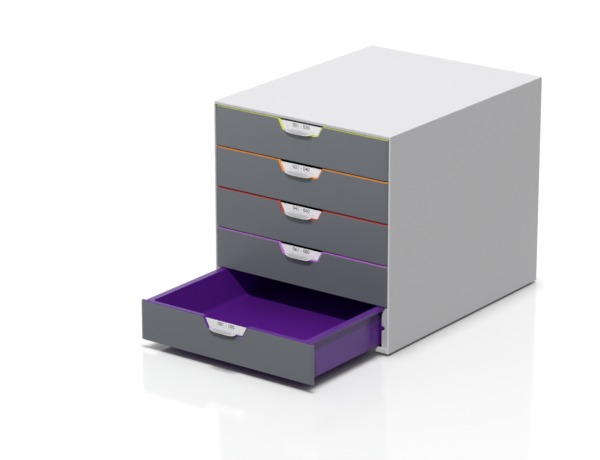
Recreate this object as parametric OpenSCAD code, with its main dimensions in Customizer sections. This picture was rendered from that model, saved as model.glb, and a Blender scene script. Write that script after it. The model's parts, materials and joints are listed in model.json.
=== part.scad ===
// Desktop drawer tower: a light grey cabinet of clipped panels with five sliding
// trays, each with a dark front, a clear label window with a finger visor, and a
// label card. Millimetres, +Z up, fronts towards -Y.
// Origin: middle of the cabinet's footprint, on the plane that its feet stand on.

/* [Cabinet] */
// Outer width of the cabinet
cabinet_w = 280; // [264:2:320]
// Outer depth of the cabinet, drawer fronts included
cabinet_d = 356; // [340:2:400]
// Thickness of the top panel
top_t = 4; // [3:0.5:6]
// Thickness of each side panel
side_t = 2; // [1.5:0.25:3]
// Thickness of the back panel
back_t = 2.5; // [2:0.5:4]
// Thickness of the base panel
base_t = 2.5; // [2:0.25:3.5]
// Height of the base panel's front lip
base_lip_h = 6.4; // [5:0.2:8]
// Depth of the base panel's front lip, front to back
base_lip_d = 3; // [2:0.5:5]
// Radius of the cabinet's upright corners
corner_r = 2; // [1:0.25:3]

/* [Feet] */
// Diameter of a foot
foot_dia = 16; // [10:1:24]
// Height of a foot
foot_h = 3; // [2:0.5:6]
// Distance from the cabinet's outer faces to a foot's centre
foot_inset = 24; // [18:1:40]

/* [Runner mouldings] */
// Width of a runner moulding, from the side panel inwards
runner_w = 11; // [10:0.5:14]
// Wall thickness of a runner moulding
runner_wall = 2; // [1.5:0.25:2.5]
// Gap between a closed drawer front and the column behind it
shut_gap = 0.8; // [0.4:0.2:2]
// Height of a rib groove at its mouth
groove_mouth_h = 7; // [6.2:0.2:7.4]
// Height of a rib groove at its bottom
groove_tip_h = 3; // [2.6:0.2:3.6]
// Depth of a rib groove, from the moulding's inner face outwards
groove_d = 4.6; // [3.6:0.2:6]
// Width of a stop catch's face
catch_w = 6.5; // [5:0.5:7]
// Height of a stop catch
catch_h = 10; // [8:0.5:11]
// How far a stop catch reaches back from the column's back face
catch_d = 6; // [4:0.5:10]
// Height of a catch's underside above the front's bottom edge
catch_z = 29.4; // [29:0.2:31]
// How far a catch's face stands proud of the column
catch_proud = 0.3; // [0:0.1:0.6]
// Clearance round a catch in its window
catch_gap = 0.15; // [0.1:0.05:0.3]

/* [Drawer fronts] */
// Height of a drawer front, its coloured cap included
front_h = 54.3; // [52:0.5:70]
// Gap between two drawer fronts
front_gap = 1.5; // [1:0.25:3]
// Gap between the bottom front and the base panel's lip
lip_gap = 0.6; // [0.4:0.2:2]
// Gap between the top drawer's cap and the top panel
top_gap = 0.5; // [0.4:0.1:2]
// Gap between a front and the side panels
side_gap = 0.3; // [0.2:0.1:1]
// Thickness of a front
front_t = 3; // [2.5:0.25:4]
// Corner radius of a front, seen from the front
front_r = 1.5; // [0.5:0.25:3]
// Width over which a front's end curves back
front_end_w = 7; // [4:0.5:10]
// How far a front's end curves back
front_end_sag = 2; // [1:0.25:2.25]

/* [Trays] */
// Gap between a tray's side and the runner moulding
tray_gap = 3; // [2.5:0.25:4]
// Gap between a closed tray and the back panel
tray_rear_gap = 10.5; // [4:0.5:30]
// Height of a tray's underside above its front's bottom edge
tray_lift = 1.5; // [1:0.25:3]
// Thickness of a tray's walls
tray_wall = 2.4; // [1.8:0.2:3]
// Thickness of a tray's floor
tray_floor = 2; // [1.6:0.2:3]
// Inner corner radius of a tray
tray_r = 4; // [2:0.5:8]
// How far a tray's rim stands out past its side
rim_w = 6.5; // [5:0.5:7]
// Thickness of a tray's rim
rim_t = 1.8; // [1.4:0.2:2.2]
// Height of a rim's turned-down edge
rim_lip_h = 4.5; // [3:0.5:6]
// Thickness of a rim's turned-down edge
rim_lip_t = 1.6; // [1.2:0.2:2]
// How far the rim stands out behind the tray's rear wall
rim_rear = 3; // [1:0.5:4]
// Height of the coloured cap over a front
cap_h = 2.2; // [1.6:0.2:3]
// Set-back of the cap from the front's face
cap_back = 0.3; // [0:0.1:0.6]
// Set-back of the cap's ends from the front's ends
cap_end = 1.7; // [1:0.1:3]
// Length of the proud land on a tray's side, from the front
land_len = 129; // [100:1:140]
// How far the land stands proud
land_proud = 1; // [0.5:0.25:1.5]
// Height of the runner rib's middle above the front's bottom edge
rib_z = 24.8; // [23:0.2:25]
// How far the runner rib stands out
rib_d = 5.6; // [4:0.2:6]
// Height of the runner rib at the tray's side
rib_root_h = 7; // [4:0.2:7.6]
// Height of the runner rib at its tip
rib_tip_h = 2.4; // [1.6:0.2:3]
// Distance from the front's face to the rib's front end
rib_start = 166; // [150:1:190]
// Distance from the front's face to the small dimple in each side of the tray
dimple_at = 146; // [140:1:148]
// Diameter of a dimple
dimple_dia = 4; // [3:0.5:6]
// Depth of a dimple
dimple_d = 0.8; // [0.4:0.1:1.2]
// How far the stop lug stands out past the tray's side
lug_w = 2.5; // [2:0.1:2.7]
// Length of the stop lug
lug_len = 6; // [4:1:10]
// Running clearance of rims in their channels
run_gap = 0.6; // [0.4:0.1:1]

/* [Travel] */
// How far a drawer pulls out from shut
travel = 260; // [200:5:270]
// Space left between lug and catch at full travel
stop_gap = 0.5; // [0.2:0.1:1]
// How far the bottom drawer stands open
open_by = 158; // [0:2:200]

/* [Label window] */
// Width of the cut-out along the top of a front
cut_top_w = 70.8; // [64:0.4:76]
// Width of the cut-out at its lower step
cut_low_w = 54; // [50:0.5:60]
// Height of the lower step below the cap's top
cut_drop = 17.9; // [17:0.1:20]
// Rise of the lower step's edge from its middle to its ends
cut_sag = 2.4; // [1:0.2:3]
// Gap between the window's slanted edges and the cut-out
window_inset = 2.7; // [1.5:0.1:3.5]
// Set-back of the window's face from the front's face
window_back = 1.2; // [0.9:0.1:1.3]
// Thickness of the window
window_t = 1; // [0.8:0.1:1.1]
// Height of the window's top edge below the cap's top
window_drop = 2.5; // [2.2:0.1:3]
// Height of the window's lower edge below the cap's top
window_low_drop = 14.5; // [13.5:0.1:15.5]
// Clearance between the tray's slanted guide ribs and the front and window
guide_gap = 0.2; // [0.1:0.05:0.3]
// Set-back of the guide ribs from the front's face
guide_back = 0.6; // [0.3:0.1:1]
// Thickness of the card
card_t = 0.5; // [0.3:0.1:0.6]
// Gap between card, window and tray wall
card_gap = 0.1; // [0.05:0.05:0.15]
// How far the finger visor bulges out from the window
visor_out = 8.2; // [7:0.2:10]
// Width of the visor
visor_w = 50; // [42:1:52]
// Corner radius of the visor's ends
visor_end_r = 7; // [5:0.5:8]
// Height of the visor's open edge below the cap's top, in the middle
visor_drop = 15.2; // [14.8:0.1:16.5]
// Rise of the visor's open edge from the middle to its ends
visor_sag = 1.6; // [0.8:0.2:2.4]
// Wall thickness of the visor
visor_wall = 1.2; // [0.8:0.1:1.4]
// Depth of the pocket wall's lowered top edge below the cap's top
pocket_drop = 2.6; // [2.4:0.1:3.2]

/* [Hidden] */
LEVELS = 5;
$fn = 48;
PLASTIC_GREY = [0.80, 0.80, 0.82];
FRONT_GREY = [0.35, 0.37, 0.39];
CARD_WHITE = [0.95, 0.95, 0.95];
CLEAR = [0.85, 0.87, 0.9, 0.5];
RUBBER = [0.12, 0.12, 0.12];
TRAY_COLOURS = [
    [0.78, 0.86, 0.25], [0.93, 0.52, 0.12], [0.75, 0.12, 0.10],
    [0.66, 0.36, 0.78], [0.34, 0.10, 0.55]
];

// Levels: each front stands one pitch above the one below it
pitch = front_h + front_gap;
lowest_z = foot_h + base_lip_h + lip_gap;
top_z = lowest_z + (LEVELS - 1) * pitch + front_h + top_gap;

// Planes of the cabinet
front_y = -cabinet_d / 2;
back_y = cabinet_d / 2 - back_t;
side_x = cabinet_w / 2 - side_t;
base_z = foot_h + base_t;
runner_x = side_x - runner_w;
column_y = front_y + front_t + shut_gap;

// Tray, measured from its front's lower edge and from the middle
tray_x = runner_x - tray_gap;
tray_y = front_y + front_t;
tray_len = back_y - tray_rear_gap - rim_rear - tray_y;
rim_x = tray_x + rim_w;
front_w = 2 * (side_x - side_gap);
panel_h = front_h - cap_h;
land_y = front_y + land_len;
rib_y = front_y + rib_start;
catch_back_y = column_y + runner_wall + catch_d;
lug_y = catch_back_y + travel + stop_gap;
lug_top_z = catch_z + catch_h - 2 * catch_gap;
catch_nose_x = tray_x + land_proud + 0.3;

// Slant of the cut-out's sides, width lost per millimetre of height
cut_slant = (cut_top_w - cut_low_w) / 2 / (cut_drop - cap_h);
card_y = front_y + window_back + window_t + card_gap;

// Visor: its turning line lies behind the window's face and below the open edge
visor_axis = 3;
visor_r = sqrt(pow(visor_out + visor_axis, 2) + visor_axis * visor_axis);
visor_crown_r = 200;

// Width of the window at a height, so that its edges keep clear of the cut-out
function label_w(z) =
    cut_low_w + 2 * (cut_slant * (z - front_h + cut_drop) - window_inset);

// ---- Shared outlines ----

// Rectangle about the origin with round corners
module round_rect(w, d, r) {
    square([w - 2 * r, d], center = true);
    square([w, d - 2 * r], center = true);
    for (sx = [-1, 1], sy = [-1, 1])
        translate([sx * (w / 2 - r), sy * (d / 2 - r)]) circle(r);
}

// Cabinet's outline seen from above, as a block between two heights
module cabinet_block(z0, z1) {
    translate([0, 0, z0]) linear_extrude(z1 - z0) round_rect(cabinet_w, cabinet_d, corner_r);
}

// Even trapezoid between two heights, drawn in the front's plane
module trapezoid(low_w, low_z, high_w, high_z) {
    polygon([[-low_w / 2, low_z], [low_w / 2, low_z], [high_w / 2, high_z],
        [-high_w / 2, high_z]]);
}

// Stands a shape drawn in the front's plane up, from y0 back to y1
module upright(y0, y1) {
    translate([0, y1, 0]) rotate([90, 0, 0]) linear_extrude(y1 - y0) children();
}

// Puts a drawer's piece at its level, and draws the bottom one open
module at_level(n) {
    pulled = n == LEVELS ? open_by : 0;
    translate([0, -pulled, lowest_z + (LEVELS - n) * pitch]) children();
}

module both_sides() {
    children();
    mirror([1, 0, 0]) children();
}

// ---- Cabinet ----

module top_panel() {
    color(PLASTIC_GREY) cabinet_block(top_z, top_z + top_t);
}

module side_panel() {
    color(PLASTIC_GREY) intersection() {
        cabinet_block(foot_h, top_z);
        translate([side_x, -cabinet_d, 0]) cube([side_t, 2 * cabinet_d, top_z]);
    }
}

module left_side_panel() mirror([1, 0, 0]) side_panel();

module right_side_panel() side_panel();

module base_panel() {
    color(PLASTIC_GREY) union() {
        translate([-side_x, front_y, foot_h]) cube([2 * side_x, back_y - front_y, base_t]);
        translate([-side_x, front_y, foot_h]) cube([2 * side_x, base_lip_d, base_lip_h]);
    }
}

module back_panel() {
    color(PLASTIC_GREY)
        translate([-side_x, back_y, foot_h]) cube([2 * side_x, back_t, top_z - foot_h]);
}

module rubber_feet() {
    foot_x = cabinet_w / 2 - foot_inset;
    foot_y = cabinet_d / 2 - foot_inset;
    color(RUBBER) for (sx = [-1, 1], sy = [-1, 1])
        translate([sx * foot_x, sy * foot_y, 0]) cylinder(h = foot_h, d = foot_dia);
}

// Space that a tray's rim needs in the runner moulding, grown outwards by wall
module rim_channel(wall) {
    low = front_h - rim_lip_h - run_gap - wall;
    high = pitch - (front_gap - run_gap) + wall;
    translate([runner_x - 1, low]) square([rim_x + run_gap + wall - runner_x + 1, high - low]);
}

// Groove that a tray's rib runs in, grown outwards by wall
module rib_groove(wall) {
    mouth = groove_mouth_h / 2 + wall;
    tip = groove_tip_h / 2 + wall;
    tip_x = runner_x + groove_d + wall;
    slope = (mouth - tip) / (groove_d + wall);
    polygon([[runner_x - 1, rib_z - mouth - slope], [tip_x, rib_z - tip],
        [tip_x, rib_z + tip], [runner_x - 1, rib_z + mouth + slope]]);
}

// Repeats a shape drawn in the front's plane at each level
module each_level() {
    for (n = [1 : LEVELS]) translate([0, lowest_z + (LEVELS - n) * pitch]) children();
}

// Block that a stop catch fills, grown by a clearance
module catch_block(grow) {
    translate([side_x - 1.4 - catch_w - grow, column_y - catch_proud, catch_z - grow])
        cube([catch_w + 2 * grow, catch_proud + runner_wall, catch_h + 2 * grow]);
    translate([catch_nose_x, column_y + runner_wall, catch_z - grow])
        cube([side_x - 2.4 - catch_nose_x + grow, catch_d + grow, catch_h + 2 * grow]);
}

// Moulding behind a side's fronts: web, column, rear flange, rim channels and rib grooves
module runner_moulding() {
    color(PLASTIC_GREY) difference() {
        union() {
            upright(column_y, back_y) intersection() {
                translate([runner_x, base_z]) square([runner_w, top_z - base_z]);
                union() {
                    translate([runner_x, base_z]) square([runner_wall, top_z - base_z]);
                    each_level() rim_channel(runner_wall);
                    each_level() rib_groove(runner_wall);
                }
            }
            for (y = [column_y, back_y - runner_wall])
                translate([runner_x, y, base_z]) cube([runner_w, runner_wall, top_z - base_z]);
        }
        upright(column_y - 1, back_y - runner_wall) {
            each_level() rim_channel(0);
            each_level() rib_groove(0);
        }
        for (n = [1 : LEVELS])
            translate([0, 0, lowest_z + (LEVELS - n) * pitch]) catch_block(catch_gap);
    }
}

module left_runner_moulding() mirror([1, 0, 0]) runner_moulding();

module right_runner_moulding() runner_moulding();

// Small blocks set in the columns, which the trays' lugs meet at full travel
module stop_catches() {
    color(PLASTIC_GREY) both_sides() for (n = [1 : LEVELS])
        translate([0, 0, lowest_z + (LEVELS - n) * pitch]) catch_block(0);
}

// ---- Drawers, each drawn from its front's lower edge ----

// Outline of a front seen from above: flat, with ends that curve back
module front_outline() {
    flat_x = front_w / 2 - front_end_w;
    bend_r = (front_end_w * front_end_w + front_end_sag * front_end_sag) / 2 / front_end_sag;
    translate([-flat_x, front_y]) square([2 * flat_x, front_t]);
    both_sides() intersection() {
        translate([flat_x, front_y]) square([front_end_w, front_t]);
        translate([flat_x, front_y + bend_r]) circle(bend_r, $fn = 96);
    }
}

// Outline of the cut-out that shows the label, up to a height, shrunk by inset
module cut_outline(high_z, inset) {
    low_z = front_h - cut_drop;
    low_w = cut_low_w - 2 * inset;
    step_r = (cut_low_w * cut_low_w / 4 + cut_sag * cut_sag) / 2 / cut_sag;
    intersection() {
        trapezoid(low_w, low_z, low_w + 2 * cut_slant * (high_z - low_z), high_z);
        translate([0, low_z + step_r]) circle(step_r - inset, $fn = 360);
    }
}

module drawer_front() {
    color(FRONT_GREY) difference() {
        intersection() {
            linear_extrude(panel_h) front_outline();
            upright(front_y - 1, front_y + front_t + 1)
                translate([0, panel_h / 2]) round_rect(front_w, panel_h, front_r);
        }
        upright(front_y - 1, front_y + front_t + 1) cut_outline(panel_h + 1, 0);
    }
}

// Tray's outer body: walls, proud lands, rim, turned-down edges and ribs
module tray_outside() {
    rim_top = front_h;
    translate([-tray_x, tray_y, tray_lift]) cube([2 * tray_x, tray_len, rim_top - tray_lift]);
    translate([-rim_x, tray_y + shut_gap + 0.2, rim_top - rim_t])
        cube([2 * rim_x, tray_len + rim_rear - shut_gap - 0.2, rim_t]);
    both_sides() {
        translate([rim_x - rim_lip_t, tray_y + shut_gap + 0.2, rim_top - rim_lip_h])
            cube([rim_lip_t, tray_len + rim_rear - shut_gap - 0.2, rim_lip_h]);
        translate([tray_x - 1, tray_y, tray_lift])
            cube([1 + land_proud, land_y - tray_y, rim_top - tray_lift - rim_t]);
        upright(rib_y, tray_y + tray_len)
            polygon([[tray_x - 1, rib_z - rib_root_h / 2], [tray_x, rib_z - rib_root_h / 2],
                [tray_x + rib_d, rib_z - rib_tip_h / 2], [tray_x + rib_d, rib_z + rib_tip_h / 2],
                [tray_x, rib_z + rib_root_h / 2], [tray_x - 1, rib_z + rib_root_h / 2]]);
        translate([tray_x - 1, lug_y, rib_z]) cube([1 + lug_w, lug_len, lug_top_z - rib_z]);
    }
}

// Coloured strip of the tray that caps its front's upper edge
module front_cap() {
    translate([0, cap_back, panel_h]) linear_extrude(cap_h) intersection() {
        front_outline();
        translate([-front_w / 2 + cap_end, front_y])
            square([front_w - 2 * cap_end, front_t - cap_back]);
    }
    translate([-tray_x, tray_y - 1, panel_h]) cube([2 * tray_x, 1 + tray_wall, cap_h]);
}

// Slanted ribs of the tray that stand in the cut-out, one at each end of the window
module label_guides() {
    low_z = front_h - cut_drop;
    upright(front_y + guide_back, tray_y + 1) difference() {
        cut_outline(front_h, guide_gap);
        trapezoid(label_w(low_z - 1) + 2 * guide_gap, low_z - 1,
            label_w(front_h + 1) + 2 * guide_gap, front_h + 1);
    }
}

module tray(n) {
    color(TRAY_COLOURS[n - 1]) union() {
        difference() {
            union() {
                tray_outside();
                front_cap();
            }
            translate([0, tray_y + tray_len / 2, tray_lift + tray_floor]) linear_extrude(front_h)
                round_rect(2 * (tray_x - tray_wall), tray_len - 2 * tray_wall, tray_r);
            upright(front_y - 1, tray_y + tray_wall + 1) intersection() {
                cut_outline(front_h + 1, 0);
                translate([-cut_top_w, front_h - pocket_drop])
                    square([2 * cut_top_w, front_h]);
            }
            both_sides() translate([tray_x - dimple_d, front_y + dimple_at, rib_z])
                rotate([0, 90, 0]) cylinder(h = dimple_d + 1, d = dimple_dia);
        }
        label_guides();
    }
}

// Visor's bulge: a body turned about a line along X, inset all over by a wall
module visor_body(wall) {
    r = visor_r - wall;
    half_w = visor_w / 2 - wall;
    rotate([0, 90, 0]) rotate_extrude() intersection() {
        round_rect(2 * r, 2 * half_w, visor_end_r - wall);
        translate([0, -half_w]) square([r, 2 * half_w]);
        translate([r - visor_crown_r, 0]) circle(visor_crown_r, $fn = 360);
    }
}

// Clear plate in front of the card, with a hollow visor that a finger hooks under
module label_window() {
    face_y = front_y + window_back;
    low_z = front_h - window_low_drop;
    high_z = front_h - window_drop;
    edge_r = (visor_w * visor_w / 4 + visor_sag * visor_sag) / 2 / visor_sag;
    color(CLEAR) union() {
        upright(face_y, face_y + window_t)
            trapezoid(label_w(low_z), low_z, label_w(high_z), high_z);
        intersection() {
            translate([0, face_y + visor_axis, front_h - visor_drop - visor_axis]) difference() {
                visor_body(0);
                visor_body(visor_wall);
            }
            upright(front_y - 2 * visor_out, face_y + window_t / 2)
                translate([0, front_h - visor_drop + edge_r]) circle(edge_r, $fn = 360);
        }
    }
}

module label_card() {
    low_z = front_h - window_low_drop;
    high_z = front_h - window_drop - card_gap;
    color(CARD_WHITE) upright(card_y, card_y + card_t)
        trapezoid(label_w(low_z) - 2 * card_gap, low_z, label_w(high_z) - 2 * card_gap, high_z);
}

top_panel();
left_side_panel();
right_side_panel();
base_panel();
back_panel();
left_runner_moulding();
right_runner_moulding();
stop_catches();
rubber_feet();
at_level(1) tray(1);  // tray_1
at_level(2) tray(2);  // tray_2
at_level(3) tray(3);  // tray_3
at_level(4) tray(4);  // tray_4
at_level(5) tray(5);  // tray_5
at_level(1) drawer_front();  // drawer_front_1
at_level(2) drawer_front();  // drawer_front_2
at_level(3) drawer_front();  // drawer_front_3
at_level(4) drawer_front();  // drawer_front_4
at_level(5) drawer_front();  // drawer_front_5
at_level(1) label_window();  // label_window_1
at_level(2) label_window();  // label_window_2
at_level(3) label_window();  // label_window_3
at_level(4) label_window();  // label_window_4
at_level(5) label_window();  // label_window_5
at_level(1) label_card();  // label_card_1
at_level(2) label_card();  // label_card_2
at_level(3) label_card();  // label_card_3
at_level(4) label_card();  // label_card_4
at_level(5) label_card();  // label_card_5
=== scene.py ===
"""Looks of the plastic drawer tower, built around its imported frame.

Sizes are in millimetres in this script and become metres where a shape is made.
Drawer pieces are modelled once, shut and with the lower edge of their front at
height zero, and are then copied to the five levels.
"""
import json
import math

import bmesh
import bpy
from mathutils import Matrix, Vector

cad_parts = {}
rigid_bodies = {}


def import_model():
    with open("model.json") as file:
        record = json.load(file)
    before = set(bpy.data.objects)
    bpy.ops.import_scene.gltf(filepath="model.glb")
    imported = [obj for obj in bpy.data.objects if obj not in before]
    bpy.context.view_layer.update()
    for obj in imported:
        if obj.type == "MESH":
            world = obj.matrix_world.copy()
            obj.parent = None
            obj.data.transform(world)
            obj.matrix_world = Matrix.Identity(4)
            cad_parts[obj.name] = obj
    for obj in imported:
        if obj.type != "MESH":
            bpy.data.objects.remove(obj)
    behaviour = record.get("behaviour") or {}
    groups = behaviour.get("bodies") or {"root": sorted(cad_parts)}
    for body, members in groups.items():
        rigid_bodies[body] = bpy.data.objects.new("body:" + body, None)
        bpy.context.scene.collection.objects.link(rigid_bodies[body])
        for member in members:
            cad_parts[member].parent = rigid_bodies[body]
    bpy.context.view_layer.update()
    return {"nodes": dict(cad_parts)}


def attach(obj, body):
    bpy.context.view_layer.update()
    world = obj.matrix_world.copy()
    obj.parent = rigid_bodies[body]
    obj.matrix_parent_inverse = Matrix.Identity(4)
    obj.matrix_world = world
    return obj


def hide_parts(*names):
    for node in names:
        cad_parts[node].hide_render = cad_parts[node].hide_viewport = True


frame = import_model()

MM = 0.001

# Cabinet
SIDE_IN, SIDE_OUT = 138.0, 140.0
FACE_Y, REAR_Y = -178.0, 178.0
BACK_IN = 175.5
FLOOR_GAP, BASE_TOP, TOP_UNDER, TOP = 3.0, 5.5, 288.0, 292.0
LIP_TOP, LIP_T = 9.4, 3.0
COLUMN_Y = -174.2

# Stop catches: a wide face in the column and a nose behind it
CATCH_LOW, CATCH_HIGH = 29.4, 39.4
CATCH_FACE_X, CATCH_FACE_Y = (130.1, 136.6), (-174.5, -172.0)
CATCH_NOSE_X, CATCH_NOSE_Y = (125.3, 135.6), (-172.2, -166.2)

# Feet
FOOT_X, FOOT_Y = 116.0, 154.0
FOOT_R, FOOT_H, FOOT_RIM, FOOT_HOLLOW = 8.0, 3.0, 2.2, 0.5

# Levels, top to bottom, and how far the bottom drawer stands open
PITCH = 55.8
LOWEST = 10.0
LEVEL_COUNT = 5
OPEN_BY = 158.0

# Drawer fronts
FRONT_HALF, FRONT_T, PANEL_H, CAP_TOP, FRONT_H = 137.7, 3.0, 52.8, 54.0, 54.3
FRONT_CORNER_R = 1.5
END_W, END_SAG = 7.0, 2.0
END_FLAT = FRONT_HALF - END_W
END_R = (END_W ** 2 + END_SAG ** 2) / 2 / END_SAG

# Cut-out for the label: half width and height of its bowed foot, slant of its sides
CUT_LOW_HALF, CUT_LOW_Z, CUT_SLANT, CUT_SAG = 27.0, 36.4, 0.535, 2.4
CUT_CORNER = 1.4
CUT_TOP_Z = 60.0
STEP_R = (CUT_LOW_HALF ** 2 + CUT_SAG ** 2) / 2 / CUT_SAG
INSET_ACROSS = 1.13

# The tray's frame round the window
FRAME_Y, FRAME_EDGE_Y, FRAME_BACK_Y, FRAME_GAP = -177.4, -175.7, -174.0, 0.2
FRAME_IN_HALF, SILL_TOP = 26.03, 39.3
FRAME_OVER, FRAME_SPREAD = 70.0, 16.4
FRAME_LEAN, SILL_LEAN = 4.0, 2.6

# Label window and its visor, which is part of a crowned roller
WINDOW_LOW, WINDOW_HIGH = 39.8, 51.8
WINDOW_LOW_HALF, WINDOW_HIGH_HALF = 26.1, 32.5
WINDOW_Y, WINDOW_BACK_Y = -176.8, -175.8
VISOR_Y, VISOR_Z, VISOR_CROWN = -173.8, 36.1, 600.0
VISOR_HALF, VISOR_END_R, VISOR_R, VISOR_WALL = 24.9, 4.6, 11.5, 1.0
VISOR_BACK_Y = -176.3
VISOR_SIDE, VISOR_EDGE_Z, VISOR_EDGE_RISE = 25.0, 39.1, 1.6
VISOR_EDGE_R = (VISOR_SIDE ** 2 + VISOR_EDGE_RISE ** 2) / 2 / VISOR_EDGE_RISE
VISOR_STRAIGHT, VISOR_CORNER_W, VISOR_CORNER_RISE = 14.0, 11.0, 4.6
# The last value is the width of the painted highlight along the visor's open edge
FROST_TOP, FROST_SAG, HIGHLIGHT_BAND = 44.6, 3.4, 0.5

# Label card and its number
CARD_HALF, CARD_SPREAD, CARD_TOP = 26.0, 6.4, 51.7
CARD_Y, CARD_BACK_Y = -175.7, -175.2
NUMBER_SIZE, NUMBER_Z, NUMBER_Y = 6.6, 45.9, -175.71
NUMBER_BOLD, NUMBER_T, NUMBER_SPACING = 0.09, 0.02, 1.05
CARD_RUN = 20

# Trays
TRAY_HALF, TRAY_Y, TRAY_END = 124.0, -175.0, 162.0
TRAY_LOW, TRAY_WALL, TRAY_FLOOR = 1.5, 2.4, 2.0
INSIDE_R, POCKET_DEPTH = 6.0, 3.7
LAND_OUT, LAND_END, LAND_TOP = 1.0, -49.0, 53.0
RIM_HALF, RIM_Y, RIM_END, RIM_T = 130.5, -174.0, 165.0, 1.8
EDGE_T, EDGE_LOW = 1.6, 49.8
CAP_HALF, CAP_Y, CAP_BACK_Y = 136.0, -177.7, COLUMN_Y - 0.2
RIB_IN, RIB_OUT, RIB_Y, RIB_LOW, RIB_HIGH = 123.0, 129.6, -12.0, 21.3, 28.3
RIB_MIDDLE, RIB_TIP_SHARE = 24.8, 2.4 / 7
LUG_OUT, LUG_Y, LUG_END, LUG_TOP = 126.5, 94.3, 100.3, 39.1
DIMPLE_R, DIMPLE_DEPTH, DIMPLE_Y = 2.0, 0.8, -32.0

WORN_ANGLE = 32.0


# ---- Workshop ----

def only(piece):
    """Picks one piece and nothing else."""
    bpy.ops.object.select_all(action="DESELECT")
    piece.select_set(True)
    bpy.context.view_layer.objects.active = piece


def named(name):
    """Names the piece made last and settles its place and size."""
    piece = bpy.context.object
    piece.name = piece.data.name = name
    only(piece)
    bpy.ops.object.transform_apply(location=True, rotation=True, scale=True)
    return piece


def block(name, low, high):
    """A block between two corners."""
    low, high = Vector(low) * MM, Vector(high) * MM
    bpy.ops.object.select_all(action="DESELECT")
    bpy.ops.mesh.primitive_cube_add(size=1, location=(low + high) / 2, scale=high - low)
    return named(name)


def pick(piece, kind, test):
    """Opens a piece with only the corners, edges or faces that pass the test.

    The test gets a place in millimetres and a direction: a face's normal, or the
    line of an edge with positive signs.
    """
    only(piece)
    bpy.ops.object.mode_set(mode="EDIT")
    bpy.ops.mesh.select_mode(type=kind)
    bpy.ops.mesh.select_all(action="DESELECT")
    mesh = bmesh.from_edit_mesh(piece.data)
    if kind == "FACE":
        for face in mesh.faces:
            face.select_set(bool(test(face.calc_center_median() / MM, face.normal)))
    elif kind == "EDGE":
        for edge in mesh.edges:
            start, end = edge.verts[0].co, edge.verts[1].co
            line = (end - start).normalized()
            line = Vector((abs(line.x), abs(line.y), abs(line.z)))
            edge.select_set(bool(test((start + end) / 2 / MM, line)))
    else:
        for corner in mesh.verts:
            corner.select_set(bool(test(corner.co / MM, None)))
    mesh.select_flush_mode()
    bmesh.update_edit_mesh(piece.data)


def close():
    """Closes the piece that pick has opened."""
    bpy.ops.object.mode_set(mode="OBJECT")


def round_edges(piece, test, radius, steps=4):
    """Rounds the edges that pass the test."""
    pick(piece, "EDGE", test)
    bpy.ops.mesh.bevel(offset=radius * MM, segments=steps, affect="EDGES", clamp_overlap=False)
    close()


def slide(piece, test, by):
    """Moves the corners that pass the test."""
    pick(piece, "VERT", test)
    bpy.ops.transform.translate(value=Vector(by) * MM)
    close()


def saw(piece, place, normal):
    """Cuts a line of edges round a piece, without parting it."""
    pick(piece, "FACE", lambda at, way: True)
    bpy.ops.mesh.bisect(plane_co=Vector(place) * MM, plane_no=normal)
    close()


def combine(piece, tool, how):
    """Adds a tool to a piece, or cuts it out of it, and uses the tool up."""
    only(piece)
    step = piece.modifiers.new("Shape", "BOOLEAN")
    step.operation, step.solver, step.object = how, "EXACT", tool
    bpy.ops.object.modifier_apply(modifier=step.name)
    bpy.data.objects.remove(tool)
    return piece


def add(piece, tool):
    return combine(piece, tool, "UNION")


def cut(piece, tool):
    return combine(piece, tool, "DIFFERENCE")


def join(piece, others):
    """Puts several pieces together as one."""
    only(piece)
    for other in others:
        other.select_set(True)
    bpy.ops.object.join()
    return piece


def tidy_faces(piece):
    """Merges doubled corners and the flat faces that a cut has split."""
    pick(piece, "FACE", lambda at, way: True)
    bpy.ops.mesh.remove_doubles(threshold=0.005 * MM)
    bpy.ops.mesh.dissolve_limited(angle_limit=math.radians(0.5))
    close()


def smooth(piece):
    """Shades a piece smooth and keeps its flat faces flat."""
    only(piece)
    bpy.ops.object.shade_smooth_by_angle(angle=math.radians(40))
    weigh = piece.modifiers.new("Flat faces stay flat", "WEIGHTED_NORMAL")
    weigh.keep_sharp = True
    bpy.ops.object.modifier_apply(modifier=weigh.name)
    return piece


def soften(piece, width=0.35, steps=2):
    """Rounds every sharp edge, and marks the rounding, where plastic wears first."""
    only(piece)
    piece.data.materials.clear()
    for _ in range(2):
        piece.data.materials.append(None)
    bevel = piece.modifiers.new("Softened edges", "BEVEL")
    bevel.width, bevel.segments, bevel.material = width * MM, steps, 1
    bevel.limit_method, bevel.angle_limit = "ANGLE", math.radians(WORN_ANGLE)
    bevel.use_clamp_overlap = False
    bpy.ops.object.modifier_apply(modifier=bevel.name)
    worn = piece.data.attributes.new("worn_edge", "FLOAT", "CORNER")
    for face in piece.data.polygons:
        for corner in face.loop_indices:
            worn.data[corner].value = float(face.material_index == 1)
        face.material_index = 0
    piece.data.materials.clear()
    return smooth(piece)


def copy_at(piece, name, shift):
    """A copy of a piece, moved by the shift."""
    only(piece)
    bpy.ops.object.duplicate(linked=False)
    bpy.ops.transform.translate(value=Vector(shift) * MM)
    return named(name)


# ---- Finishes ----

class Reading:
    """What a material reads at a point. Sums on it add the material's nodes."""

    def __init__(self, finish, socket):
        self.finish, self.socket = finish, socket

    def sum(self, operation, first, second):
        return self.finish.add("Math", {"operation": operation}, {0: first, 1: second})

    def __add__(self, other):
        return self.sum("ADD", self, other)

    def __sub__(self, other):
        return self.sum("SUBTRACT", self, other)

    def __rsub__(self, other):
        return self.sum("SUBTRACT", other, self)

    def __mul__(self, other):
        return self.sum("MULTIPLY", self, other)

    __radd__ = __add__
    __rmul__ = __mul__


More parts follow.
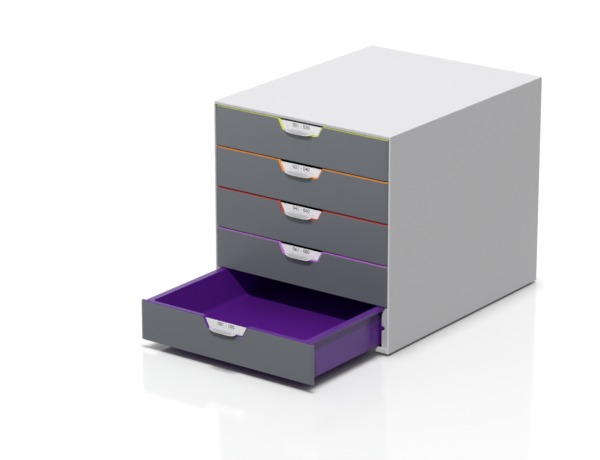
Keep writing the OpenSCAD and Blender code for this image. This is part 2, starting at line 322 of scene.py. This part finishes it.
class Finish:
    """A material that is put together node by node."""

    def __init__(self, name):
        self.material = bpy.data.materials.new(name)
        self.material.use_nodes = True
        self.tree = self.material.node_tree
        self.tree.nodes.clear()
        self.place = self.add("TexCoord", output="Object")

    def add(self, kind, settings=None, values=None, output=0):
        node = self.tree.nodes.new("ShaderNode" + kind)
        for setting, value in (settings or {}).items():
            setattr(node, setting, value)
        for socket, value in (values or {}).items():
            if isinstance(value, Reading):
                self.tree.links.new(value.socket, node.inputs[socket])
            else:
                node.inputs[socket].default_value = value
        return Reading(self, node.outputs[output]) if node.outputs else None

    def stretched(self, x, y, z):
        """The place on the piece, scaled along each axis."""
        return self.add("VectorMath", {"operation": "MULTIPLY"}, {0: self.place, 1: (x, y, z)})

    def noise(self, size, detail=2.0, place=None):
        """Cloudy noise whose spots are about that many millimetres across."""
        return self.add("TexNoise", {}, {"Vector": place or self.place,
                                         "Scale": 1 / (size * MM), "Detail": detail}, "Fac")

    def window(self, value, low, high):
        """Zero below low, one above high, and soft in between."""
        return self.add("MapRange", {"interpolation_type": "SMOOTHSTEP"},
                        {"Value": value, "From Min": low, "From Max": high})

    def blend(self, mask, first, second):
        return self.add("Mix", {"data_type": "RGBA"}, {0: mask, 6: first, 7: second}, 2)

    def worn_edge(self):
        return self.add("Attribute", {"attribute_name": "worn_edge"}, output="Fac")

    def hairlines(self, size, length):
        """Fine scratches along the piece and across it."""
        thin, long = 1 / (size * MM), 1 / (length * MM)
        facing = self.add("TexCoord", output="Normal")
        lines = 0.0
        for axis in range(3):
            stretch = [thin, thin, thin]
            stretch[axis] = long
            streak = self.noise(1 / MM, 1.0, self.stretched(*stretch))
            out = self.add("SeparateXYZ", {}, {0: facing}, axis)
            across = 1 - self.window(out * out, 0.1, 0.4)
            lines = self.window(streak, 0.70, 0.78) * across + lines
        return lines * self.window(self.noise(35, 1.0), 0.5, 0.75)

    def bumps(self, height, depth, strength=1.0):
        return self.add("Bump", {}, {"Height": height, "Distance": depth * MM,
                                     "Strength": strength})

    def close(self, values):
        surface = self.add("BsdfPrincipled", {}, values)
        self.add("OutputMaterial", {}, {"Surface": surface})
        return self.material


def shade(colour, by):
    """The colour made darker or lighter, with its alpha."""
    return tuple(min(1.0, channel * by) for channel in colour[:3]) + (1.0,)


def moulded(name, colour, roughness, grain, grain_depth, drift, edge=1.25, ior=1.5):
    """Moulded plastic: fine grain, a slow drift of colour and worn edges."""
    finish = Finish(name)
    cloud = finish.noise(90, 3.0)
    grit = finish.noise(grain, 2.0)
    worn = finish.worn_edge() * finish.window(finish.noise(9, 3.0), 0.35, 0.7)
    tint = finish.blend(cloud, shade(colour, 1 - drift), shade(colour, 1 + drift))
    tint = finish.blend(worn * 0.5, tint, shade(colour, edge))
    rough = roughness + (cloud - 0.5) * 0.12 + worn * 0.08
    relief = finish.bumps(grit, grain_depth)
    return finish.close({"Base Color": tint, "Roughness": rough, "Normal": relief,
                         "IOR": ior})


def clear_window():
    """Clear plate, frosty low on the visor, with a painted highlight along its open edge."""
    finish = Finish("clear_window")
    frost = finish.add("Attribute", {"attribute_name": "bulge"}, output="Fac")
    # rim: the band along the visor's open edge that gets the painted highlight
    rim = finish.add("Attribute", {"attribute_name": "rim"}, output="Fac")
    smear = finish.noise(7, 3.0)
    lines = finish.hairlines(0.2, 12)
    tint = finish.blend(frost, (0.90, 0.90, 0.92, 1), (0.50, 0.50, 0.52, 1))
    # painted highlight: the open edge is tinted near white, as if it caught the light
    tint = finish.blend(rim * 0.9, tint, (0.93, 0.93, 0.94, 1))
    cover = 0.03 + frost * 0.80 + smear * 0.03 + lines * 0.04
    rough = 0.10 + frost * 0.22 + smear * 0.08 + lines * 0.15
    relief = finish.bumps(finish.noise(6, 1.0), 0.004, 0.4)
    return finish.close({"Base Color": tint, "Roughness": rough, "Alpha": cover,
                         "Normal": relief, "Specular IOR Level": 0.6})


def card_stock():
    """White paper with a faint fibre, a little worn at its edges."""
    finish = Finish("card_stock")
    fibre = finish.noise(0.8, 1.0, finish.stretched(1, 1, 2.2))
    cloud = finish.noise(12, 2.0)
    worn = finish.worn_edge()
    tint = finish.blend(fibre, (0.95, 0.95, 0.95, 1), (0.97, 0.97, 0.97, 1))
    tint = finish.blend(cloud * 0.05, tint, (0.86, 0.85, 0.83, 1))
    tint = finish.blend(worn * 0.3, tint, (0.72, 0.71, 0.68, 1))
    return finish.close({"Base Color": tint, "Roughness": 0.75 + fibre * 0.15,
                         "Normal": finish.bumps(fibre, 0.0015)})


def print_ink():
    """Black ink with a faint speckle."""
    finish = Finish("print_ink")
    speck = finish.noise(0.3, 2.0)
    tint = finish.blend(speck, (0.012, 0.012, 0.014, 1), (0.03, 0.03, 0.034, 1))
    return finish.close({"Base Color": tint, "Roughness": 0.55 + speck * 0.2,
                         "Normal": finish.bumps(speck, 0.005)})


def foot_rubber():
    """Black rubber with some dust on it."""
    finish = Finish("foot_rubber")
    grit = finish.noise(0.6, 3.0)
    dust = finish.window(finish.noise(5, 3.0), 0.5, 0.8)
    tint = finish.blend(dust * 0.5, (0.02, 0.02, 0.02, 1), (0.10, 0.10, 0.095, 1))
    return finish.close({"Base Color": tint, "Roughness": 0.7 + dust * 0.2,
                         "Normal": finish.bumps(grit, 0.05), "Specular IOR Level": 0.4})


def glossy_floor():
    """Smooth pale floor that mirrors the tower softly."""
    finish = Finish("glossy_floor")
    return finish.close({"Base Color": (0.45, 0.45, 0.45, 1), "Roughness": 0.10,
                         "IOR": 1.6})


def dress(piece, name, material, body, node):
    """Gives a finished piece its name, finish and body, and hides the frame node that it stands
    in for.
    """
    piece.name = piece.data.name = name
    piece.data.materials.clear()
    piece.data.materials.append(material)
    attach(piece, body)
    if node:
        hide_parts(node)
    return piece


# ---- Cabinet pieces ----

def upright_line(at, way):
    """Whether an edge stands upright."""
    return way.z > 0.9


def top_plate():
    """Flat top with rounded corners."""
    plate = block("top_plate", (-SIDE_OUT, FACE_Y, TOP_UNDER), (SIDE_OUT, REAR_Y, TOP))
    round_edges(plate, upright_line, radius=2.0, steps=5)
    round_edges(plate, lambda at, way: at.z > TOP - 0.01, radius=0.9, steps=3)
    return soften(plate, width=0.25)


def side_plate(side):
    """Outer skin of one side; side is 1 on the right and -1 on the left."""
    low, high = sorted((side * SIDE_IN, side * SIDE_OUT))
    skin = block("side_skin", (low, FACE_Y, FLOOR_GAP), (high, REAR_Y, TOP_UNDER))
    round_edges(skin, lambda at, way: way.z > 0.9 and abs(at.x) > SIDE_OUT - 0.01,
                radius=1.5, steps=4)
    return soften(skin, width=0.18)


def base_plate():
    """Floor of the cabinet with a low lip along its front."""
    plate = block("base", (-SIDE_IN, FACE_Y, FLOOR_GAP), (SIDE_IN, BACK_IN, BASE_TOP))
    lip = block("lip", (-SIDE_IN, FACE_Y, FLOOR_GAP), (SIDE_IN, FACE_Y + LIP_T, LIP_TOP))
    add(plate, lip)
    tidy_faces(plate)
    return soften(plate, width=0.4, steps=3)


def back_plate():
    """Back of the cabinet."""
    plate = block("back", (-SIDE_IN, BACK_IN, FLOOR_GAP), (SIDE_IN, REAR_Y, TOP_UNDER))
    return soften(plate, width=0.3)


def from_node(name, node):
    """A copy of a frame node's shape, with its flat faces merged."""
    piece = bpy.data.objects.new(name, frame["nodes"][node].data.copy())
    bpy.context.scene.collection.objects.link(piece)
    tidy_faces(piece)
    return piece


def catch(side, level_z):
    """Small block in a column that stops a tray's lug."""
    face = sorted(side * x for x in CATCH_FACE_X)
    nose = sorted(side * x for x in CATCH_NOSE_X)
    low, high = level_z + CATCH_LOW, level_z + CATCH_HIGH
    piece = block("catch", (face[0], CATCH_FACE_Y[0], low), (face[1], CATCH_FACE_Y[1], high))
    add(piece, block("nose", (nose[0], CATCH_NOSE_Y[0], low), (nose[1], CATCH_NOSE_Y[1], high)))
    tidy_faces(piece)
    return soften(piece, width=0.4, steps=3)


def foot(x, y):
    """Round rubber pad with a hollow underside."""
    bpy.ops.object.select_all(action="DESELECT")
    bpy.ops.mesh.primitive_cylinder_add(vertices=64, radius=FOOT_R * MM, depth=FOOT_H * MM,
                                        location=Vector((x, y, FOOT_H / 2)) * MM)
    pad = named("foot")
    pick(pad, "FACE", lambda at, way: way.z < -0.9)
    bpy.ops.mesh.inset(thickness=FOOT_RIM * MM)
    bpy.ops.transform.translate(value=(0, 0, FOOT_HOLLOW * MM))
    close()
    return soften(pad, width=0.5, steps=3)


# ---- Drawer pieces ----

def end_sag(x):
    """How far a front's end has curved back at a place across it."""
    past = max(0.0, abs(x) - END_FLAT)
    return END_R - math.sqrt(END_R ** 2 - past ** 2)


def places_across(piece):
    """Where a piece has corners, from left to right."""
    return sorted({round(corner.co.x / MM, 3) for corner in piece.data.vertices})


def curve_ends(piece, face_y, half, steps=7):
    """Curves the ends of a strip back, as seen from above."""
    for step in range(steps):
        x = END_FLAT + (half - END_FLAT) * step / steps
        for side in (-1, 1):
            saw(piece, (side * x, 0, 0), (1, 0, 0))
    for x in places_across(piece):
        if abs(x) > END_FLAT + 0.01:
            slide(piece, lambda at, _: abs(at.x - x) < 0.002 and abs(at.y - face_y) < 0.01,
                  (0, end_sag(x), 0))


def cut_out_tool(name, low_y, high_y, low_z=None, inset=0.0):
    """Shape of the cut-out for the label: slanted sides over a bowed foot.

    With low_z its foot is flat and lies at that height. The inset draws the shape in.
    """
    low = (CUT_LOW_Z if low_z is None else low_z) + inset
    corner = CUT_LOW_HALF + (CUT_CORNER if low_z is None else CUT_SLANT * (low - CUT_LOW_Z))
    corner -= INSET_ACROSS * inset
    top = CUT_LOW_HALF + CUT_SLANT * (CUT_TOP_Z - CUT_LOW_Z) - INSET_ACROSS * inset
    tool = block(name, (-corner, low_y, low), (corner, high_y, CUT_TOP_Z))
    for side in (1, -1):
        slide(tool, lambda at, _: at.z > CUT_TOP_Z - 0.01 and at.x * side > 0,
              (side * (top - corner), 0, 0))
    if low_z is None:
        for step in range(1, 16):
            saw(tool, (corner * (step / 8 - 1), 0, 0), (1, 0, 0))
        for x in places_across(tool):
            rise = STEP_R - math.sqrt(STEP_R ** 2 - x * x)
            slide(tool, lambda at, _: abs(at.x - x) < 0.002 and at.z < low + 0.01, (0, 0, rise))
    return tool


def front_panel():
    """Dark front with curved ends and the cut-out for the label."""
    panel = block("front", (-FRONT_HALF, FACE_Y, 0), (FRONT_HALF, FACE_Y + FRONT_T, PANEL_H))
    round_edges(panel, lambda at, way: way.y > 0.9, radius=FRONT_CORNER_R, steps=4)
    curve_ends(panel, FACE_Y, FRONT_HALF)
    cut(panel, cut_out_tool("cut_out", FACE_Y - 1, FACE_Y + FRONT_T + 1))
    tidy_faces(panel)
    return soften(panel, width=0.35, steps=3)


def label_frame():
    """The tray's frame round the window: a slanted rib at each end and a sill."""
    ring = cut_out_tool("label_frame", FRAME_Y, FRAME_BACK_Y, inset=FRAME_GAP)
    cut(ring, block("above", (-60, -180, CAP_TOP), (60, -170, FRAME_OVER)))
    for name, back_y in (("hollow", -170.0), ("slope", FRAME_EDGE_Y)):
        tool = block(name, (-FRAME_IN_HALF, -180, SILL_TOP), (FRAME_IN_HALF, back_y, FRAME_OVER))
        for side in (-1, 1):
            slide(tool, lambda at, _: at.z > FRAME_OVER - 1 and at.x * side > 0,
                  (side * FRAME_SPREAD, 0, 0))
            if name == "slope":
                slide(tool, lambda at, _: at.y < -179 and at.x * side > 0,
                      (side * FRAME_LEAN, 0, 0))
        if name == "slope":
            slide(tool, lambda at, _: at.y < -179 and at.z < SILL_TOP + 1, (0, 0, -SILL_LEAN))
        cut(ring, tool)
    return ring


def tray_rib(side):
    """Runner rib low on the tray's side, narrower at its tip."""
    low, high = sorted((side * RIB_IN, side * RIB_OUT))
    rib = block("rib", (low, RIB_Y, RIB_LOW), (high, TRAY_END - 2, RIB_HIGH))
    pick(rib, "VERT", lambda at, _: abs(at.x) > RIB_OUT - 0.6)
    bpy.ops.transform.resize(value=(1, 1, RIB_TIP_SHARE),
                             center_override=Vector((side * RIB_OUT, 0, RIB_MIDDLE)) * MM)
    close()
    return rib


def dimple_tool(side):
    """Round peg that leaves a shallow dimple in the tray's side."""
    bpy.ops.object.select_all(action="DESELECT")
    length = 3.0
    middle = side * (TRAY_HALF - DIMPLE_DEPTH + length / 2)
    bpy.ops.mesh.primitive_cylinder_add(
        vertices=32, radius=DIMPLE_R * MM, depth=length * MM, rotation=(0, math.pi / 2, 0),
        location=Vector((middle, DIMPLE_Y, RIB_MIDDLE)) * MM)
    return named("dimple")


def on_foot_edge(at, way):
    """The tray's lower edges, apart from the ends of its lands."""
    at_land_end = abs(at.x) < TRAY_HALF + 0.5 and abs(at.y - LAND_END) < 0.01
    return abs(at.z - TRAY_LOW) < 0.01 and way.z < 0.1 and not at_land_end


def tray_body():
    """One moulding: tray, rim with turned-down edge, ribs, lugs, cap and label frame."""
    body = block("tray", (-TRAY_HALF, TRAY_Y, TRAY_LOW), (TRAY_HALF, TRAY_END, FRONT_H))
    round_edges(body, lambda at, way: way.z > 0.9 and at.y > 0, radius=2.0, steps=4)
    add(body, block("land", (-TRAY_HALF - LAND_OUT, TRAY_Y, TRAY_LOW),
                    (TRAY_HALF + LAND_OUT, LAND_END, LAND_TOP)))
    add(body, block("rim", (-RIM_HALF, RIM_Y, FRONT_H - RIM_T), (RIM_HALF, RIM_END, FRONT_H)))
    for side in (-1, 1):
        edge = sorted((side * (RIM_HALF - EDGE_T), side * RIM_HALF))
        lug = sorted((side * RIB_IN, side * LUG_OUT))
        add(body, block("edge", (edge[0], RIM_Y, EDGE_LOW), (edge[1], RIM_END, FRONT_H)))
        add(body, tray_rib(side))
        add(body, block("lug", (lug[0], LUG_Y, RIB_MIDDLE), (lug[1], LUG_END, LUG_TOP)))
    cap = block("cap", (-CAP_HALF, CAP_Y, PANEL_H), (CAP_HALF, CAP_BACK_Y, CAP_TOP))
    curve_ends(cap, CAP_Y, CAP_HALF)
    add(body, cap)
    inside = block("inside", (-TRAY_HALF + TRAY_WALL, TRAY_Y + TRAY_WALL, TRAY_LOW + TRAY_FLOOR),
                   (TRAY_HALF - TRAY_WALL, TRAY_END - TRAY_WALL, 60))
    round_edges(inside, lambda at, way: way.z > 0.9 or at.z < 10, radius=INSIDE_R, steps=6)
    cut(body, inside)
    cut(body, cut_out_tool("pocket", FACE_Y - 1, TRAY_Y + TRAY_WALL + 1, FRONT_H - POCKET_DEPTH))
    for side in (-1, 1):
        cut(body, dimple_tool(side))
    add(body, label_frame())
    tidy_faces(body)
    round_edges(body, on_foot_edge, radius=0.9, steps=3)
    return soften(body, width=0.3, steps=2)


def visor_outline(half, end_r, reach, steps=6):
    """Places across the visor with its distance from the visor's axis there."""
    points = []
    for step in range(steps + 1):
        turn = math.radians(90 * step / steps)
        points.append((end_r * (1 - math.cos(turn)) - half, reach - end_r * (1 - math.sin(turn))))
    for step in range(1, steps):
        points.append(((half - end_r) * (step / steps - 1), reach))
    points += [(-x, radius) for x, radius in reversed(points)] + [(0.0, reach)]
    return [(x, radius - x * x / 2 / VISOR_CROWN) for x, radius in points]


def visor_roller(half, end_r, reach):
    """The round body that the visor is a part of, crowned and with rounded ends."""
    axis = Vector((0, VISOR_Y, VISOR_Z)) * MM
    bpy.ops.object.select_all(action="DESELECT")
    bpy.ops.mesh.primitive_cylinder_add(vertices=96, radius=reach * MM, depth=2 * half * MM,
                                        rotation=(0, math.pi / 2, 0), location=axis)
    roller = named("roller")
    outline = visor_outline(half, end_r, reach)
    for x, _ in outline:
        if abs(x) < half - 0.01:
            saw(roller, (x, 0, 0), (1, 0, 0))
    for x, radius in outline:
        pick(roller, "VERT", lambda at, _: abs(at.x - x) < 0.01)
        bpy.ops.transform.resize(value=(1, radius / reach, radius / reach),
                                 center_override=axis)
        close()
    return roller


def edge_rise(x):
    """How far the visor's open edge has risen that far from its middle."""
    bow = VISOR_EDGE_R - math.sqrt(VISOR_EDGE_R ** 2 - x * x)
    return bow + VISOR_CORNER_RISE * (max(0.0, abs(x) - VISOR_STRAIGHT) / VISOR_CORNER_W) ** 2


def bowed_edge_tool():
    """Takes off what lies below the visor's open edge, which rises to its ends."""
    half = 27.0
    tool = block("below", (-half, -190, 20), (half, -170, VISOR_EDGE_Z))
    for step in range(1, 20):
        saw(tool, (half * (step / 10 - 1), 0, 0), (1, 0, 0))
    for x in places_across(tool):
        slide(tool, lambda at, _: abs(at.x - x) < 0.002 and at.z > 30, (0, 0, edge_rise(x)))
    return tool


def mark_visor(plate):
    """Marks where the visor is frosty, and the band along its open edge that gets a painted
    highlight.
    """
    bulge = plate.data.attributes.new("bulge", "FLOAT", "CORNER")
    rim = plate.data.attributes.new("rim", "FLOAT", "CORNER")
    for face in plate.data.polygons:
        outside = face.center.y / MM < WINDOW_Y - 0.1
        for corner in face.loop_indices:
            at = plate.data.vertices[plate.data.loops[corner].vertex_index].co / MM
            frost_top = FROST_TOP - FROST_SAG * (at.x / VISOR_SIDE) ** 2
            # painted highlight band, just above the visor's open edge
            highlight_top = VISOR_EDGE_Z + edge_rise(at.x) + HIGHLIGHT_BAND
            bulge.data[corner].value = float(outside and at.z < frost_top)
            rim.data[corner].value = float(outside and at.z < highlight_top)


def label_window():
    """Clear plate, and the hollow visor that bulges out of it."""
    visor = visor_roller(VISOR_HALF, VISOR_END_R, VISOR_R)
    cut(visor, visor_roller(VISOR_HALF - VISOR_WALL, VISOR_END_R - VISOR_WALL,
                            VISOR_R - VISOR_WALL))
    cut(visor, bowed_edge_tool())
    cut(visor, block("behind", (-40, VISOR_BACK_Y, 0), (40, -150, 60)))
    plate = block("window", (-WINDOW_LOW_HALF, WINDOW_Y, WINDOW_LOW),
                  (WINDOW_LOW_HALF, WINDOW_BACK_Y, WINDOW_HIGH))
    for side in (-1, 1):
        slide(plate, lambda at, _: at.z > 50 and at.x * side > 0,
              (side * (WINDOW_HIGH_HALF - WINDOW_LOW_HALF), 0, 0))
    add(plate, visor)
    tidy_faces(plate)
    soften(plate, width=0.12, steps=2)
    mark_visor(plate)
    return plate


def label_card():
    """White card behind the window, wider at its top."""
    card = block("card", (-CARD_HALF, CARD_Y, WINDOW_LOW), (CARD_HALF, CARD_BACK_Y, CARD_TOP))
    for side in (-1, 1):
        slide(card, lambda at, _: at.z > 50 and at.x * side > 0, (side * CARD_SPREAD, 0, 0))
    round_edges(card, lambda at, way: way.y > 0.9, radius=0.6, steps=3)
    return soften(card, width=0.08, steps=1)


def card_number(text):
    """Plain numbers printed on a card."""
    bpy.ops.object.select_all(action="DESELECT")
    bpy.ops.object.text_add(location=(0, 0, 0))
    words = bpy.context.object
    words.data.body = text
    words.data.size = NUMBER_SIZE * MM
    words.data.offset = NUMBER_BOLD * MM
    words.data.space_character = NUMBER_SPACING
    words.data.extrude = NUMBER_T * MM
    words.data.align_x = "CENTER"
    bpy.ops.object.convert(target="MESH")
    words = bpy.context.object
    words.rotation_euler = (math.pi / 2, 0, 0)
    words.location = Vector((0, NUMBER_Y, NUMBER_Z)) * MM
    return named("number")


# ---- Put together ----

grey = moulded("grey_plastic", (0.64, 0.64, 0.655), 0.42, grain=0.7, grain_depth=0.012,
               drift=0.02, edge=1.1)
grey_inner = moulded("grey_moulding", (0.52, 0.52, 0.535), 0.45, grain=0.7, grain_depth=0.02,
                     drift=0.02, edge=1.1)
dark = moulded("dark_plastic", (0.122, 0.132, 0.146), 0.42, grain=0.6, grain_depth=0.02,
               drift=0.04, edge=1.5, ior=1.45)
tray_finishes = [
    ("lime_plastic", (0.58, 0.63, 0.07)),
    ("orange_plastic", (0.85, 0.28, 0.03)),
    ("red_plastic", (0.48, 0.035, 0.03)),
    ("lilac_plastic", (0.50, 0.16, 0.66)),
    ("purple_plastic", (0.100, 0.012, 0.245)),
]
clear = clear_window()
card_finish = card_stock()
ink = print_ink()
rubber = foot_rubber()

dress(top_plate(), "tower_top", grey, "cabinet", "top_panel")
dress(side_plate(-1), "tower_left_side", grey, "cabinet", "left_side_panel")
dress(side_plate(1), "tower_right_side", grey, "cabinet", "right_side_panel")
dress(base_plate(), "tower_base", grey, "cabinet", "base_panel")
dress(back_plate(), "tower_back", grey, "cabinet", "back_panel")
for which in ("left", "right"):
    moulding = soften(from_node(which + "_columns", which + "_runner_moulding"))
    dress(moulding, which + "_columns", grey_inner, "cabinet", which + "_runner_moulding")
catches = [catch(side, LOWEST + PITCH * level)
           for side in (-1, 1) for level in range(LEVEL_COUNT)]
dress(join(catches[0], catches[1:]), "tower_catches", grey_inner, "cabinet", "stop_catches")
pads = [foot(x, y) for x in (-FOOT_X, FOOT_X) for y in (-FOOT_Y, FOOT_Y)]
dress(join(pads[0], pads[1:]), "tower_feet", rubber, "cabinet", "rubber_feet")

pattern_front = front_panel()
pattern_tray = tray_body()
pattern_window = label_window()
pattern_card = label_card()

for level in range(1, LEVEL_COUNT + 1):
    shift = (0, -OPEN_BY if level == LEVEL_COUNT else 0, LOWEST + PITCH * (LEVEL_COUNT - level))
    body = "drawer_%d" % level
    finish_name, colour = tray_finishes[level - 1]
    bright = moulded(finish_name, colour, 0.30, grain=3.0, grain_depth=0.012, drift=0.05)
    dress(copy_at(pattern_tray, "tray", shift), "tray_body_%d" % level, bright, body,
          "tray_%d" % level)
    dress(copy_at(pattern_front, "front", shift), "front_%d" % level, dark, body,
          "drawer_front_%d" % level)
    dress(copy_at(pattern_window, "window", shift), "window_%d" % level, clear, body,
          "label_window_%d" % level)
    dress(copy_at(pattern_card, "card", shift), "card_%d" % level, card_finish, body,
          "label_card_%d" % level)
    number = card_number("%03d - %03d" % ((level - 1) * CARD_RUN + 1, level * CARD_RUN))
    dress(copy_at(number, "ink", shift), "card_number_%d" % level, ink, body, None)
    bpy.data.objects.remove(number)
for pattern in (pattern_tray, pattern_front, pattern_window, pattern_card):
    bpy.data.objects.remove(pattern)

# ---- Floor, light and camera ----

bpy.ops.object.select_all(action="DESELECT")
bpy.ops.mesh.primitive_plane_add(size=40, location=(0, 0, 0))
ground = named("studio_floor")
ground.data.materials.append(glossy_floor())
ground.visible_diffuse = False

world = bpy.data.worlds.new("studio")
bpy.context.scene.world = world
world.use_nodes = True
sky = world.node_tree
direction = sky.nodes.new("ShaderNodeTexCoord").outputs["Generated"]


def sky_glow(towards, from_cosine, to_cosine, dim, bright):
    """Light of the room that grows towards one direction, from dim to bright."""
    facing = sky.nodes.new("ShaderNodeVectorMath")
    facing.operation = "DOT_PRODUCT"
    facing.inputs[1].default_value = Vector(towards).normalized()
    sky.links.new(direction, facing.inputs[0])
    glow = sky.nodes.new("ShaderNodeMapRange")
    glow.interpolation_type = "SMOOTHSTEP"
    sky.links.new(facing.outputs["Value"], glow.inputs["Value"])
    for socket, value in (("From Min", from_cosine), ("From Max", to_cosine),
                          ("To Min", dim), ("To Max", bright)):
        glow.inputs[socket].default_value = value
    return glow.outputs[0]


total = sky.nodes.new("ShaderNodeMath")
sky.links.new(sky_glow((0, 0, 1), 0.2, 1.0, 0.14, 0.78), total.inputs[0])
sky.links.new(sky_glow((-0.57, 0.76, 0.25), 0.3, 0.8, 0.0, 0.75), total.inputs[1])
sky.nodes["Background"].inputs["Color"].default_value = (1, 1, 1, 1)
sky.links.new(total.outputs[0], sky.nodes["Background"].inputs["Strength"])


def lit_pieces(name, pieces, state):
    """A list of pieces that one light reaches, or that it leaves out."""
    chosen = bpy.data.collections.new(name)
    for place, piece in enumerate(pieces):
        chosen.objects.link(piece)
        chosen.collection_objects[place].light_linking.link_state = state
    return chosen


def lamp(name, kind, energy, towards, pieces, place=(0, 0, 0)):
    """A light that shines from the direction given, on the pieces listed."""
    data = bpy.data.lights.new(name, kind)
    data.energy = energy
    light = bpy.data.objects.new(name, data)
    bpy.context.scene.collection.objects.link(light)
    light.location = place
    light.rotation_mode = "QUATERNION"
    light.rotation_quaternion = Vector(towards).to_track_quat("Z", "Y")
    light.light_linking.receiver_collection = pieces
    return data


upper_right = (0.55, -1.0, 0.99)
shell = [bpy.data.objects[name] for name in ("tower_top", "tower_right_side",
                                             "tower_left_side", "tower_back")]
far_key = lamp("key_on_the_case", "SUN", 2.4, upper_right,
               lit_pieces("case", shell, "INCLUDE"))
far_key.angle = math.radians(2.5)
fronts = [bpy.data.objects["front_%d" % level] for level in range(1, LEVEL_COUNT + 1)]
shut_key = lamp("key_on_the_shut_fronts", "AREA", 6.4, (0.24, -0.55, 0.66),
                lit_pieces("shut_fronts", fronts[:-1], "INCLUDE"), (0.24, -0.72, 0.90))
shut_key.shape, shut_key.size = "DISK", 0.03
near_key = lamp("key_on_the_drawers", "AREA", 27.0, upper_right,
                lit_pieces("lit_by_others", shell + [ground] + fronts[:-1], "EXCLUDE"),
                (0.70, -1.36, 1.40))
near_key.shape, near_key.size = "DISK", 0.04
card_light = lamp("card_on_the_left", "AREA", 1.6, (-0.37, -0.42, 0.20),
                  lit_pieces("fronts", fronts, "INCLUDE"), (-0.42, -0.60, 0.42))
card_light.shape, card_light.size = "SQUARE", 0.35
floor_light = lamp("floor_light", "SUN", 5.3, (0, 0, 1), lit_pieces("floor", [ground], "INCLUDE"))
floor_light.angle = math.radians(12)

camera_data = bpy.data.cameras.new("photo_view")
camera_data.lens = 163.3
camera_data.sensor_width = 36
camera = bpy.data.objects.new("photo_view", camera_data)
bpy.context.scene.collection.objects.link(camera)
camera_place = (1.9918, -2.8429, 1.2561)
yaw, pitch, roll = math.radians(-36.777), math.radians(18.504), math.radians(-0.049)
forward = Vector((math.sin(yaw) * math.cos(pitch), math.cos(yaw) * math.cos(pitch),
                  -math.sin(pitch)))
turn = forward.to_track_quat("-Z", "Y").to_matrix().to_4x4()
camera.matrix_world = (Matrix.Translation(camera_place) @ turn
                       @ Matrix.Rotation(roll, 4, "Z"))
bpy.context.scene.camera = camera
bpy.context.scene.view_settings.view_transform = "Standard"
